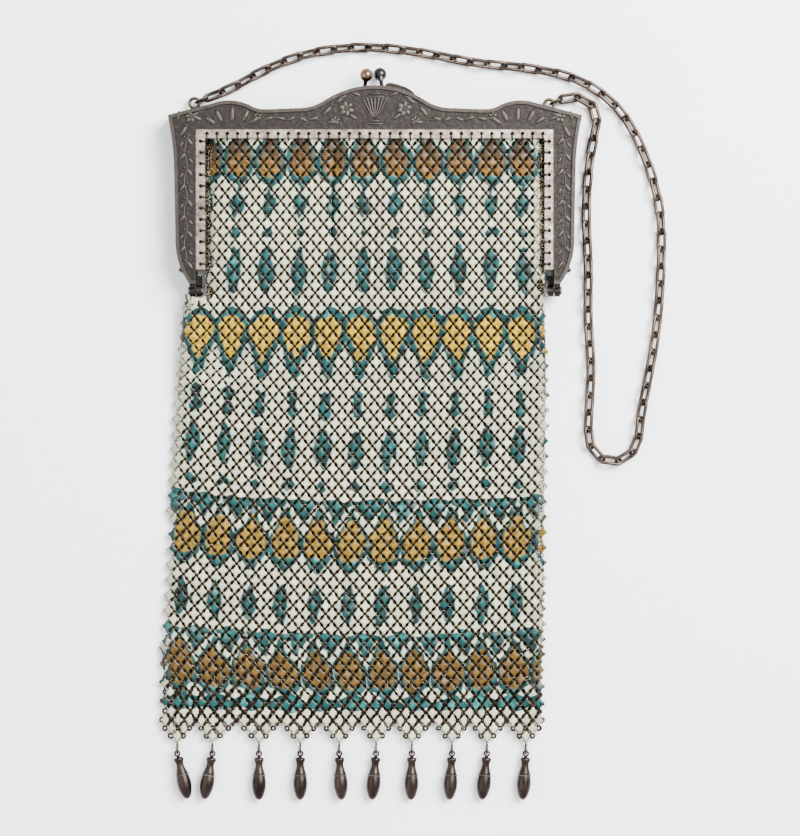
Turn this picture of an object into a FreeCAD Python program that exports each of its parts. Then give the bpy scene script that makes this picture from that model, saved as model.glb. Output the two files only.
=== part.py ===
import FreeCAD, Part
import math
import os

# Evening bag of enamelled metal mesh on a hinged metal frame, lying on its back.
# X runs across the frame, Y from the hem to the clasp, Z up from the surface it lies on.
# The origin is under the middle of the bag's own box, and the handle chain is not counted.

V = FreeCAD.Vector
UP = V(0, 0, 1)

# Driving dimensions in mm -------------------------------------------------------------
FRAME_X = 1.03           # the frame's centre line, since the mesh leans to one side
THICK = 8.0              # both halves of the closed frame together
PARTING = THICK / 2.0    # height of the plane where the halves meet
PARTING_GAP = 0.1        # each half stops this far short of it
SHEET = 0.8              # wall of the pressed frame shells
RIM_WIDTH = 0.9          # raised line along the outer edge
RIM_HEIGHT = 0.5
INNER_HALF = 45.7        # half the opening between the arms
INNER_TOP = 77.9
FOOT_Y = 38.3            # where the arms end, above the hinges
# Half of the outline in arcs, each from one point through the next to the one after,
# as distance from the centre line and height along Y: crest, hollow, ledge, hollow,
# shoulder and the fall to the corner, then an arm down to its foot.
TOP_EDGE = [(0, 89.0), (6.6, 88.05), (12.8, 85.2), (15.8, 83.75), (20, 83.2),
            (24.2, 83.0), (28.5, 82.9), (30.3, 83.2), (31.8, 83.9), (36.6, 85.15),
            (41.4, 84.4), (46.9, 83.0), (52.9, 81.4)]
ARM_EDGE = [(52.9, 81.4), (51.9, 76.0), (51.3, 70), (51.05, 60), (50.9, 50), (50.1, 44),
            (47.3, FOOT_Y)]
# thumb tab that the back half's crest shows beside the clasp
THUMB_TAB = [(3.4, 88.2), (4.3, 90.0), (6.3, 89.8), (8.8, 89.0), (10.4, 88.1), (11.6, 86.4)]
THUMB_TAB_Z = (0.6, 3.9)

RAIL_WIDTH = 2.3         # perforated strips that the mesh hangs from
RAIL_THICK = 0.6
RAIL_FOOT = 42.1
RAIL_RISE = 2.6          # middle of a strip above or below the parting plane
HOLE_R = 0.5
TOP_HOLES = 34
TOP_PITCH = 2.6
SIDE_HOLES = 12
SIDE_PITCH = 2.85
SIDE_FIRST = 74.8
RING_R = 0.85            # rings through the strips' holes
RING_WIRE = 0.22

HINGE_Y = 36.7
EAR_R = 1.5
EAR_WIDTH = 1.4
EAR_IN = 44.4            # inner face of a back ear, from the centre line
EAR_GAP = 0.2            # between a back ear and the front ear beside it
TONGUE_Y = (37.5, 40.5)  # tongue from an ear's barrel up into its arm
TONGUE_IN = 1.2          # its far face from the face of the frame
TONGUE_GAP = 0.15        # its near face from the parting plane
BACK_WELD = 0.1          # how much wider a back tongue is, to reach its arm
PIN_R = 0.6
PIN_CLEARANCE = 0.05
PIN_HEAD_R = 1.0
PIN_HEAD = 0.4

BALL_R = 1.7             # clasp balls, which pass each other side by side
POST_R = 0.5
COLLAR_R = 0.95          # collar that swells from the post to meet its ball
COLLAR_LENGTH = 0.9
COLLAR_LOW = 0.6         # how far below the ball it starts
BACK_BALL = V(-1.16, 91.9, 5.4)
BACK_POST_ROOT = V(-1.9, 87.4, 1.7)
FRONT_BALL = V(2.31, 92.4, 2.6)
FRONT_POST_ROOT = V(3.0, 87.6, 5.6)

MESH_THICK = 1.2
MESH_HALF = 42.4         # half width of the mesh between the rails
MESH_TOP = 74.8
UPPER_FOOT = 38.2        # lower edge of the front mesh that opens with the front half
LOWER_TOP = 32.0         # upper edge of the front mesh that stays with the pouch
# side edges of the pouch below the frame, which leans as it lies
POUCH_SIDES = [(-41.4, 38.0), (-48.0, 34.4), (-49.8, 8.0), (-53.9, -63.0), (-53.6, -70.5)]
POUCH_SIDES_RIGHT = [(43.4, 38.0), (44.6, 34.4), (44.9, 8.0), (44.1, -63.0), (43.6, -70.5)]
# the front mesh sinks from the frame to the back mesh: distance along Y and underside
SINK = [(LOWER_TOP, 5.3), (24.0, 4.0), (12.0, 2.3), (0.0, 1.5), (-90.0, 1.4)]
BAND_HALF = 70.0         # wider than the pouch at any height
TIP_Y = -79.3            # points of the hem's teeth
TIP_HALF = 0.5
VALLEY_Y = -75.6
# each tooth: its point along X, and the rest angle of the drop below it in degrees
TEETH = [(-49.8, 13), (-40.8, -10), (-28.8, 0), (-18.2, 0), (-8.2, 3),
         (1.3, -5), (10.5, -1), (20.8, -3), (29.8, -6), (39.8, -4)]
HEM_RING_R = 1.25
HEM_RING_WIRE = 0.27
HEM_RING_Y = -80.9

DROP_R = 1.8             # belly of a drop, and the height of its axis when it lies flat
DROP_EYE_R = 0.62
DROP_EYE_WIRE = 0.25
NECK_R = 0.5
SEAM_Y = -5.6            # where a drop's cap meets its bulb, from the eye
SEAM_R = 1.55
DROP_TIP = -12.0
DROP_WALL = 0.35
# outlines as (distance along the drop from the eye, radius)
CUP = [(-DROP_EYE_R, NECK_R), (-2.6, NECK_R), (-4.2, 1.1), (SEAM_Y, SEAM_R)]
CUP_HOLLOW = [(-4.4, 0.6), (-5.0, 1.0), (SEAM_Y, SEAM_R - DROP_WALL)]
BULB = [(SEAM_Y, SEAM_R), (-8.2, DROP_R), (-10.4, 1.35), (-11.6, 0.7), (DROP_TIP, 0)]
BULB_HOLLOW = [(SEAM_Y, SEAM_R - DROP_WALL), (-8.2, DROP_R - DROP_WALL), (-10.2, 1.0),
               (DROP_TIP + 2 * DROP_WALL, 0)]

EYELETS = {"left": V(-45.4, 85.0, 2.0), "right": V(45.8, 84.7, 2.0)}
EYELET_R = 1.25
EYELET_WIRE = 0.42
EYELET_PEG_R = 0.4
EYELET_PEG_END = 81.6
JUMP_R = 1.6             # jump rings between the eyelets and the chain
JUMP_WIRE = 0.35
JUMP_GAP = 0.08          # between a jump ring and the inside of its eyelet
CHAIN_DIRECTIONS = {"left": V(0.93, 0.37, 0), "right": V(0.92, 0.39, 0)}

LINK_WIRE = 0.33         # radius of the chain's wire
LINK_INSIDE = 1.6        # width inside a link
LINKS = 71
LINK_PLAY = 0.3          # gap between the wires of two links
PITCH_RANGE = (3.0, 6.0)  # where the pitch that fits the links to the route is looked for
ROUTE_SAMPLES = 6000
# the route of the handle chain on the table, from the left jump ring to the right one
CHAIN_ROUTE = [
    (-42.3, 86.2, 2.0), (-36.0, 88.6, 1.6), (-27.4, 93.8, 1.5), (-16.0, 98.2, 1.5),
    (-1.5, 99.8, 1.5), (13.0, 98.2, 1.5), (27.0, 95.2, 1.5), (41.0, 94.2, 1.5),
    (54.2, 91.4, 1.5), (64.6, 83.6, 1.5), (71.0, 71.0, 1.5), (74.8, 57.0, 1.5),
    (74.6, 42.0, 1.5), (73.6, 27.0, 1.5), (71.0, 13.0, 1.5), (69.2, 4.2, 1.5),
    (68.8, -2.6, 1.5), (66.4, -5.9, 1.5), (62.5, -7.5, 1.5), (58.3, -6.3, 1.5),
    (55.8, -2.5, 1.5), (55.9, 5.2, 1.5), (56.8, 17.0, 1.5), (55.6, 30.0, 1.5),
    (56.0, 43.0, 1.5), (55.2, 55.0, 1.5), (55.6, 66.0, 1.5), (57.0, 75.4, 1.5),
    (58.6, 81.8, 1.5), (56.2, 85.8, 1.6), (51.6, 87.2, 1.8), (48.8, 86.0, 2.0)]


# Helpers ------------------------------------------------------------------------------
def box(x, y, z):
    """A block between pairs of coordinates."""
    return Part.makeBox(x[1] - x[0], y[1] - y[0], z[1] - z[0], V(x[0], y[0], z[0]))


def rod(a, b, radius):
    """A round bar from a to b."""
    return Part.makeCylinder(radius, (b - a).Length, a, b - a)


def prism(points, z):
    """A straight-sided block over a polygon in the XY plane."""
    corners = [V(x, y, z[0]) for x, y in points]
    face = Part.Face(Part.makePolygon(corners + corners[:1]))
    return face.extrude(V(0, 0, z[1] - z[0]))


def curve(points, z):
    """A smooth edge through points in the XY plane."""
    spline = Part.BSplineCurve()
    spline.interpolate([V(x, y, z) for x, y in points])
    return spline.toShape()


def arcs(points, z):
    """Arcs in the XY plane, each from one point through the next to the one after."""
    at = [V(x, y, z) for x, y in points]
    return [Part.Arc(*at[i:i + 3]).toShape() for i in range(0, len(at) - 2, 2)]


def join(shapes):
    """One solid of shapes that overlap."""
    return shapes[0].multiFuse(shapes[1:]).removeSplitter()


def export(name, shape):
    """Write one node."""
    if not shape.isValid():
        raise ValueError(name + " isn't a valid shape")
    shape.exportStep("parts/" + name + ".step")


# Frame --------------------------------------------------------------------------------
def frame_field(inset, z):
    """The whole area inside the frame's outer edge, drawn in by inset, as a thin block."""
    edges = []
    for side in (-1, 1):
        for half in (TOP_EDGE, ARM_EDGE):
            edges += arcs([(FRAME_X + side * u, y) for u, y in half], z[0])
    foot = ARM_EDGE[-1][0]
    edges.append(Part.makeLine(V(FRAME_X - foot, FOOT_Y, z[0]), V(FRAME_X + foot, FOOT_Y, z[0])))
    face = Part.Face(Part.Wire(Part.sortEdges(edges)[0]))
    if inset:
        face = face.makeOffset2D(-inset)
    return face.extrude(V(0, 0, z[1] - z[0]))


def window(grow, z):
    """The opening between the arms, as a block that runs out below the feet."""
    half = INNER_HALF + grow
    return box((FRAME_X - half, FRAME_X + half), (0, INNER_TOP + grow), z)


def frame_shell():
    """A pressed half frame above the parting plane: a hollow shell with a raised rim."""
    low = PARTING + PARTING_GAP
    field = THICK - RIM_HEIGHT
    body = frame_field(0, (low, field)).cut(window(0, (low, field)))
    hollow_z = (low, field - SHEET)
    hollow = frame_field(SHEET, hollow_z).cut(window(SHEET, hollow_z))
    rim = frame_field(0, (field, THICK)).cut(frame_field(RIM_WIDTH, (field, THICK)))
    rim = rim.cut(window(0, (field, THICK)))
    return body.fuse(rim).cut(hollow)


def to_back(shape):
    """The mirror image below the parting plane."""
    return shape.mirror(V(0, 0, PARTING), UP)


def ear(side, inner, bore, low):
    """A hinge ear on one arm, bored for the pin, with the tongue that joins it to the arm."""
    x = sorted((FRAME_X + side * inner, FRAME_X + side * (inner + EAR_WIDTH)))
    centre = V(x[0], HINGE_Y, PARTING)
    barrel = Part.makeCylinder(EAR_R, EAR_WIDTH, centre, V(1, 0, 0))
    weld = BACK_WELD if low else 0
    tongue_x = sorted((FRAME_X + side * inner, FRAME_X + side * (inner + EAR_WIDTH + weld)))
    if low:
        tongue_z = (TONGUE_IN, PARTING - TONGUE_GAP)
    else:
        tongue_z = (PARTING + TONGUE_GAP, THICK - TONGUE_IN)
    tongue = box(tongue_x, TONGUE_Y, tongue_z)
    hole = Part.makeCylinder(bore, EAR_WIDTH * 3, centre - V(EAR_WIDTH, 0, 0), V(1, 0, 0))
    return barrel.fuse(tongue).cut(hole)


def hinge_pin(side):
    """A headed pin, tight in the back ear, that the front ear turns on."""
    start = EAR_IN
    end = EAR_IN + 2 * EAR_WIDTH + EAR_GAP + PIN_CLEARANCE
    centre = V(FRAME_X, HINGE_Y, PARTING)
    across = V(side, 0, 0)
    shank = rod(centre + across * start, centre + across * end, PIN_R)
    heads = [rod(centre + across * (start - PIN_HEAD), centre + across * start, PIN_HEAD_R),
             rod(centre + across * end, centre + across * (end + PIN_HEAD), PIN_HEAD_R)]
    return join([shank] + heads)


def clasp_half(root, ball):
    """A ball on a leaning post with a collar below it."""
    axis = (ball - root).normalize()
    neck = ball - axis * BALL_R
    collar = Part.makeCone(POST_R, COLLAR_R, COLLAR_LENGTH, neck - axis * COLLAR_LOW, axis)
    return join([rod(root, ball, POST_R), collar, Part.makeSphere(BALL_R, ball)])


# Rails and rings ----------------------------------------------------------------------
def hole_places():
    """Every hole of a rail: its centre in the XY plane and the way into the opening."""
    middle = RAIL_WIDTH / 2.0
    y = INNER_TOP - middle
    places = [(FRAME_X + (i - (TOP_HOLES - 1) / 2.0) * TOP_PITCH, y, V(0, -1, 0))
              for i in range(TOP_HOLES)]
    for side in (-1, 1):
        x = FRAME_X + side * (INNER_HALF - middle)
        places += [(x, SIDE_FIRST - i * SIDE_PITCH, V(-side, 0, 0)) for i in range(SIDE_HOLES)]
    return places


def rail(height):
    """Three perforated strips along the inside of a frame half."""
    z = (height - RAIL_THICK / 2.0, height + RAIL_THICK / 2.0)
    y_in = INNER_TOP - RAIL_WIDTH
    strips = [box((FRAME_X - INNER_HALF, FRAME_X + INNER_HALF), (y_in, INNER_TOP), z)]
    for side in (-1, 1):
        x = sorted((FRAME_X + side * INNER_HALF, FRAME_X + side * (INNER_HALF - RAIL_WIDTH)))
        strips.append(box(x, (RAIL_FOOT, y_in), z))
    drill = RAIL_THICK * 3
    holes = Part.makeCompound([Part.makeCylinder(HOLE_R, drill, V(x, y, height - drill / 2.0))
                               for x, y, _ in hole_places()])
    return Part.makeCompound([strip.cut(holes) for strip in strips])


def rail_rings(height):
    """One upright ring through each hole of a rail, round its inner edge."""
    rings = []
    for x, y, inward in hole_places():
        centre = V(x, y, height) + inward * RING_R
        rings.append(Part.makeTorus(RING_R, RING_WIRE, centre, inward.cross(UP)))
    return Part.makeCompound(rings)


# Mesh ---------------------------------------------------------------------------------
def hem_points():
    """The zigzag from the right side edge to the left, as points in the XY plane."""
    tips = [x for x, _ in TEETH]
    points = []
    for i in range(len(tips) - 1, -1, -1):
        points.append((tips[i] + TIP_HALF, TIP_Y))
        points.append((tips[i] - TIP_HALF, TIP_Y))
        if i:
            points.append(((tips[i] + tips[i - 1]) / 2.0, VALLEY_Y))
    return points


def back_mesh():
    """The flat back panel, from the back rail down to the hem."""
    top = [(FRAME_X - MESH_HALF, MESH_TOP), (FRAME_X + MESH_HALF, MESH_TOP)]
    outline = top + POUCH_SIDES_RIGHT + hem_points() + POUCH_SIDES[::-1]
    return prism(outline, (0, MESH_THICK))


def front_mesh_lower():
    """The front panel below the hinges, sinking on to the back panel."""
    below = [V(-BAND_HALF, y, z) for y, z in SINK]
    above = [V(-BAND_HALF, y, z + MESH_THICK) for y, z in reversed(SINK)]
    section = Part.Face(Part.makePolygon(below + above + below[:1]))
    band = section.extrude(V(2 * BAND_HALF, 0, 0))
    return band.common(prism(POUCH_SIDES_RIGHT + hem_points() + POUCH_SIDES[::-1], (-1, THICK)))


def front_mesh_upper():
    """The front panel between the arms, which opens with the front half."""
    middle = PARTING + RAIL_RISE
    return box((FRAME_X - MESH_HALF, FRAME_X + MESH_HALF), (UPPER_FOOT, MESH_TOP),
               (middle - MESH_THICK / 2.0, middle + MESH_THICK / 2.0))


# Hem ----------------------------------------------------------------------------------
def hem_rings():
    """An upright ring at each tooth, which the drop hangs from."""
    return Part.makeCompound([Part.makeTorus(HEM_RING_R, HEM_RING_WIRE,
                                             V(x, HEM_RING_Y, DROP_R), V(1, 0, 0))
                              for x, _ in TEETH])


def turned(profile):
    """A solid turned about Y from (distance along Y, radius) pairs joined smoothly."""
    edge = curve([(r, y) for y, r in profile], 0)
    (y0, r0), (y1, r1) = profile[0], profile[-1]
    lines = [Part.makeLine(V(a, b, 0), V(c, d, 0))
             for a, b, c, d in ((0, y0, r0, y0), (r1, y1, 0, y1), (0, y1, 0, y0))
             if (a, b) != (c, d)]
    wire = Part.Wire(Part.sortEdges([edge] + lines)[0])
    return Part.Face(wire).revolve(V(0, 0, 0), V(0, 1, 0), 360)


def drop_cap():
    """Eye, neck and flared cup of a drop, with the eye's centre at the origin."""
    eye = Part.makeTorus(DROP_EYE_R, DROP_EYE_WIRE, V(0, 0, 0), UP)
    opening = Part.makeCylinder(DROP_EYE_R - DROP_EYE_WIRE, DROP_R, V(0, 0, -DROP_R / 2.0))
    return eye.fuse(turned(CUP)).cut(turned(CUP_HOLLOW)).cut(opening)


def drop_bulb():
    """Hollow bulb that closes a drop's cup."""
    return turned(BULB).cut(turned(BULB_HOLLOW))


def hung(shape, tooth):
    """A drop's piece at its tooth, turned to its rest angle."""
    x, angle = tooth
    placed = shape.copy()
    placed.rotate(V(0, 0, 0), UP, angle)
    placed.translate(V(x, HEM_RING_Y - HEM_RING_R, DROP_R))
    return placed


# Chain --------------------------------------------------------------------------------
def eyelet(side):
    """A flat ring on a peg that goes through the back half's top wall."""
    centre = EYELETS[side]
    ring = Part.makeTorus(EYELET_R, EYELET_WIRE, centre, UP)
    peg = rod(V(centre.x, EYELET_PEG_END, centre.z), centre - V(0, EYELET_R, 0), EYELET_PEG_R)
    return ring.fuse(peg)


def jump_ring(side):
    """An upright ring through an eyelet, in line with the chain."""
    along = V(CHAIN_DIRECTIONS[side]).normalize()
    reach = EYELET_R - EYELET_WIRE - JUMP_WIRE - JUMP_GAP + JUMP_R
    centre = EYELETS[side] + along * reach
    return Part.makeTorus(JUMP_R, JUMP_WIRE, centre, along.cross(UP))


def chain_joints():
    """The points where links meet, at even steps along the smooth route, and the step."""
    route = Part.BSplineCurve()
    route.buildFromPoles([V(*p) for p in CHAIN_ROUTE], False, 2)
    first, last = route.FirstParameter, route.LastParameter
    line = [route.value(first + (last - first) * i / ROUTE_SAMPLES)
            for i in range(ROUTE_SAMPLES + 1)]

    def walk(step):
        joints = [line[0]]
        for point in line:
            if (point - joints[-1]).Length >= step:
                joints.append(point)
        return joints

    low, high = PITCH_RANGE
    while high - low > 1e-6:
        step = (low + high) / 2.0
        if len(walk(step)) > LINKS:
            low = step
        else:
            high = step
    return walk(low)[:LINKS] + [line[-1]], low


def oval_link(pitch):
    """A link in the XY plane, with its length along X."""
    radius = LINK_INSIDE / 2.0 + LINK_WIRE
    straight = (pitch + LINK_PLAY) / 2.0 + LINK_WIRE - radius
    ends = [Part.makeTorus(radius, LINK_WIRE, V(0, 0, 0), UP, -180, 180, 180) for _ in (0, 1)]
    ends[0].rotate(V(0, 0, 0), UP, 90)
    ends[1].rotate(V(0, 0, 0), UP, -90)
    ends[0].translate(V(-straight, 0, 0))
    ends[1].translate(V(straight, 0, 0))
    sides = [rod(V(-straight, y, 0), V(straight, y, 0), LINK_WIRE) for y in (-radius, radius)]
    return join(ends + sides)


def handle_chain():
    """Interlocked links, alternately flat and on edge."""
    joints, pitch = chain_joints()
    link = oval_link(pitch)
    links = []
    for i, (a, b) in enumerate(zip(joints, joints[1:])):
        along = (b - a).normalize()
        across = UP.cross(along)
        if i % 2:
            turn = FreeCAD.Rotation(along, UP, -across, "XYZ")
        else:
            turn = FreeCAD.Rotation(along, across, UP, "XYZ")
        placed = link.copy()
        placed.Placement = FreeCAD.Placement((a + b) / 2.0, turn)
        links.append(placed)
    return Part.makeCompound(links), pitch


# The whole bag ------------------------------------------------------------------------
def main():
    os.makedirs("parts", exist_ok=True)
    shell = frame_shell()
    front_clasp = clasp_half(FRONT_POST_ROOT, FRONT_BALL)
    back_clasp = clasp_half(BACK_POST_ROOT, BACK_BALL)
    eyelets = {side: eyelet(side) for side in EYELETS}
    front_in = EAR_IN + EAR_WIDTH + EAR_GAP

    front_ears = [ear(side, front_in, PIN_R + PIN_CLEARANCE, False) for side in (-1, 1)]
    front_frame = join([shell] + front_ears).cut(front_clasp)
    back_ears = [ear(side, EAR_IN, PIN_R, True) for side in (-1, 1)]
    tab_edge = curve(THUMB_TAB, THUMB_TAB_Z[0])
    tab_base = Part.makeLine(V(*THUMB_TAB[-1], THUMB_TAB_Z[0]), V(*THUMB_TAB[0], THUMB_TAB_Z[0]))
    tab_face = Part.Face(Part.Wire([tab_edge, tab_base]))
    tab = tab_face.extrude(V(0, 0, THUMB_TAB_Z[1] - THUMB_TAB_Z[0]))
    back_frame = join([to_back(shell), tab] + back_ears).cut(back_clasp)
    for piece in eyelets.values():
        back_frame = back_frame.cut(piece)

    front_height = PARTING + RAIL_RISE
    back_height = PARTING - RAIL_RISE
    nodes = {
        "front_frame": front_frame,
        "back_frame": back_frame,
        "front_rail": rail(front_height),
        "back_rail": rail(back_height),
        "front_rail_rings": rail_rings(front_height),
        "back_rail_rings": rail_rings(back_height),
        "back_mesh": back_mesh(),
        "front_mesh_lower": front_mesh_lower(),
        "front_mesh_upper": front_mesh_upper(),
        "hinge_pin_left": hinge_pin(-1),
        "hinge_pin_right": hinge_pin(1),
        "clasp_ball_front": front_clasp,
        "clasp_ball_back": back_clasp,
        "hem_rings": hem_rings(),
    }
    for side, piece in eyelets.items():
        nodes["chain_eyelet_" + side] = piece
        nodes["jump_ring_" + side] = jump_ring(side)
    cap = drop_cap()
    bulb = drop_bulb()
    for number, tooth in enumerate(TEETH, 1):
        nodes["drop_%d_cap" % number] = hung(cap, tooth)
        nodes["drop_%d_bulb" % number] = hung(bulb, tooth)

    bag = FreeCAD.BoundBox()
    for name, shape in nodes.items():
        if not name.startswith("jump_ring"):
            bag.add(shape.BoundBox)
    print("bag %.2f x %.2f x %.2f mm, middle %.2f %.2f, lowest %.3f" % (
        bag.XLength, bag.YLength, bag.ZLength, bag.Center.x, bag.Center.y, bag.ZMin))
    nodes["handle_chain"], pitch = handle_chain()
    print("%d links, %.2f mm apart, %.1f mm of chain" % (LINKS, pitch, LINKS * pitch))

    for name, shape in nodes.items():
        export(name, shape)


main()
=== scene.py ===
"""An evening bag of enamelled metal mesh on a hinged, embossed metal frame, dressed as it
lies on its back with the handle chain beside it."""

import math
import random

import bmesh
import bpy
from bpy.props import FloatProperty, FloatVectorProperty, IntProperty, PointerProperty
from mathutils import Euler, Matrix, Vector, noise


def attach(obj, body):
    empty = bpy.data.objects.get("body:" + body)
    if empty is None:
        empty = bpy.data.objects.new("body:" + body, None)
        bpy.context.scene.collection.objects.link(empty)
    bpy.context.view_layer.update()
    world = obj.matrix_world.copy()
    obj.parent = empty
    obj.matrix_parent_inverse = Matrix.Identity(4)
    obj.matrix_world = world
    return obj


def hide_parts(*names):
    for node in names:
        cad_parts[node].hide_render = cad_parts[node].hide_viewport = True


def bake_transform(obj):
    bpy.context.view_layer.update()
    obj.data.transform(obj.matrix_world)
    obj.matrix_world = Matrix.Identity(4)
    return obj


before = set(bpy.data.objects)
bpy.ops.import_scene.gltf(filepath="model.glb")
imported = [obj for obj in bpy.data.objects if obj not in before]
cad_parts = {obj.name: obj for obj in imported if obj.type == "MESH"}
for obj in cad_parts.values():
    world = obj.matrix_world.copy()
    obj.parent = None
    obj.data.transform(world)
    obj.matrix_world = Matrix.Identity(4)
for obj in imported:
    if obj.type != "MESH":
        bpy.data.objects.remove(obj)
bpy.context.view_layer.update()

bl_info = {
    "name": "Enamelled Mesh Evening Bag",
    "version": (1, 0, 0),
    "blender": (4, 5, 0),
    "location": "View3D > Sidebar > Evening Bag",
    "description": "Dresses the packed evening bag with plates, rings, relief, chain and finishes",
    "category": "Object",
}

MM = 0.001
UP = Vector((0, 0, 1))

# Places shared with the metal parts, in mm ---------------------------------------------
FRAME_X = 1.03                 # the frame's centre line
PARTING = 4.0                  # height where the two halves of the frame meet
FIELD = 3.5                    # face of a pressed half, from the parting plane
HINGE = Vector((FRAME_X, 36.7, PARTING)) * MM
# a tooth of the hem: where its point lies along X
TEETH = (-49.8, -40.8, -28.8, -18.2, -8.2, 1.3, 10.5, 20.8, 29.8, 39.8)
DROP_TURNS = (13, -10, 0, 0, 3, -5, -1, -3, -6, -4)
DROP_EYE = Vector((0, -82.15, 1.8))
# the pouch's side edges as (along Y, along X)
LEFT_EDGE = ((-79.0, -54.0), (-63.0, -53.9), (8.0, -49.8), (34.4, -48.0))
RIGHT_EDGE = ((-79.0, 44.2), (-63.0, 44.1), (8.0, 44.9), (34.4, 44.6))
# middle of the front mesh along Y: held flat by the frame, then sinking on to the back
FRONT_HEIGHT = ((-80.0, 2.0), (0.0, 2.1), (12.0, 2.9), (24.0, 4.6), (32.0, 5.9), (38.0, 6.6),
                (72.0, 6.6), (76.0, 5.5))
BACK_HEIGHT = ((70.0, 0.62), (74.0, 2.5))

# The handle chain's route on the table, in metres
CHAIN_ROUTE = (
    (-0.0423, 0.0862, 0.0020), (-0.0360, 0.0886, 0.0016), (-0.0274, 0.0938, 0.0015),
    (-0.0160, 0.0982, 0.0015), (-0.0015, 0.0998, 0.0015), (0.0130, 0.0982, 0.0015),
    (0.0270, 0.0952, 0.0015), (0.0410, 0.0942, 0.0015), (0.0542, 0.0914, 0.0015),
    (0.0646, 0.0836, 0.0015), (0.0710, 0.0710, 0.0015), (0.0748, 0.0570, 0.0015),
    (0.0746, 0.0420, 0.0015), (0.0736, 0.0270, 0.0015), (0.0710, 0.0130, 0.0015),
    (0.0692, 0.0042, 0.0015), (0.0688, -0.0026, 0.0015), (0.0664, -0.0059, 0.0015),
    (0.0625, -0.0075, 0.0015), (0.0583, -0.0063, 0.0015), (0.0558, -0.0025, 0.0015),
    (0.0559, 0.0052, 0.0015), (0.0568, 0.0170, 0.0015), (0.0556, 0.0300, 0.0015),
    (0.0560, 0.0430, 0.0015), (0.0552, 0.0550, 0.0015), (0.0556, 0.0660, 0.0015),
    (0.0570, 0.0754, 0.0015), (0.0586, 0.0818, 0.0015), (0.0562, 0.0858, 0.0016),
    (0.0516, 0.0872, 0.0018), (0.0488, 0.0860, 0.0020))

# The printed pattern, as half widths in mm along the flat sheet --------------------------
COLUMN = 8.06                  # from one column of motifs to the next
PRINT_SOFT = 0.4               # more than half the width of a motif's soft edge
SHEET_MAP = (200.0, 50.0, 90.0)   # mm that the flat map spans, and its zero across and along
GOLD_SHAPES = (
    (-67.0, 0), (-65.6, 1.6), (-63.4, 2.9), (-61.4, 3.2), (-58.4, 1.9), (-56.0, 0.7),
    (-54.8, 0), (-33.8, 0), (-32.4, 1.6), (-30.2, 2.9), (-28.0, 3.2), (-25.0, 2.1),
    (-22.2, 0.8), (-20.8, 0), (17.2, 0), (18.8, 0.6), (21.5, 1.6), (24.4, 2.9), (26.6, 3.3),
    (28.4, 2.7), (30.0, 1.4), (31.4, 0), (65.0, 0), (66.2, 1.7), (68.0, 2.8), (70.0, 3.0),
    (72.0, 2.6), (74.0, 1.6), (75.6, 0.8), (77.0, 0))
TEAL_SHAPES = (
    (-71.0, 0), (-70.4, 4.5), (-68.4, 4.5), (-67.8, 1.2), (-66.6, 2.2), (-64.0, 4.0), (-61.6, 4.1),
    (-58.2, 2.7), (-55.2, 1.3), (-53.2, 0.6), (-51.4, 0), (-49.8, 0), (-48.6, 0.8), (-46.6, 1.3),
    (-44.0, 1.9), (-41.4, 1.3), (-39.4, 0.8), (-38.2, 0), (-37.0, 0), (-35.4, 1.2), (-33.6, 2.4),
    (-31.6, 3.8), (-28.6, 4.4), (-25.2, 3.0), (-22.0, 1.5), (-19.6, 0.7), (-17.4, 0), (-15.8, 0),
    (-13.6, 1.6), (-11.4, 0), (-10.2, 0), (-9.0, 0.8), (-6.8, 1.3), (-4.0, 2.0), (-1.2, 1.3),
    (1.0, 0.8), (2.2, 0), (2.8, 0), (5.2, 1.7), (7.0, 0.9), (8.0, 0.9), (9.6, 1.4), (11.6, 0),
    (12.4, 0), (14.4, 1.2), (17.2, 1.7), (20.0, 2.7), (23.0, 4.0), (25.5, 4.7), (28.0, 4.6),
    (30.2, 3.6), (32.2, 1.8), (34.0, 0), (35.0, 0), (36.4, 0.9), (38.8, 1.4), (42.0, 2.1),
    (45.2, 1.4), (47.4, 0.9), (48.4, 0), (49.4, 0), (51.4, 1.4), (53.4, 0), (54.2, 0), (55.4, 0.7),
    (57.0, 1.2), (58.8, 1.9), (60.8, 1.2), (62.4, 0.4), (63.4, 0.9), (64.8, 2.4), (66.6, 3.6),
    (69.0, 4.2), (72.0, 3.8), (74.2, 2.5), (76.0, 1.7), (78.0, 0.8))
# teal wedges midway between two columns
WEDGE_SHAPES = (
    (-58.4, 0), (-57.2, 0.5), (-54.8, 1.7), (-53.2, 2.7), (-52.2, 3.9), (-51.4, 3.9), (-50.9, 0),
    (-24.6, 0), (-23.2, 0.5), (-20.8, 1.7), (-19.2, 2.7), (-18.2, 3.9), (-17.2, 3.9),
    (-16.7, 0), (14.0, 0))
# colour of the ovals and drops from the hem to the clasp, as (along, red, green, blue)
GOLD_TONES = (
    (-70.0, 0.075, 0.038, 0.006), (-55.0, 0.110, 0.058, 0.007), (-50.0, 0.19, 0.108, 0.008),
    (-20.0, 0.21, 0.120, 0.009), (0.0, 0.35, 0.215, 0.009), (32.0, 0.38, 0.235, 0.010),
    (63.0, 0.20, 0.100, 0.008), (67.5, 0.13, 0.062, 0.007), (72.0, 0.045, 0.024, 0.008))


# Small helpers --------------------------------------------------------------------------
def along_table(table, x):
    """The value at x of a table of (place, value) pairs in rising order."""
    if x <= table[0][0]:
        return table[0][1]
    for (x0, y0), (x1, y1) in zip(table, table[1:]):
        if x <= x1:
            return y0 + (y1 - y0) * (x - x0) / (x1 - x0)
    return table[-1][1]


def smooth_step(low, high, x):
    """0 below low, 1 above high, and a smooth rise between them."""
    t = min(1.0, max(0.0, (x - low) / (high - low)))
    return t * t * (3 - 2 * t)


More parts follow.
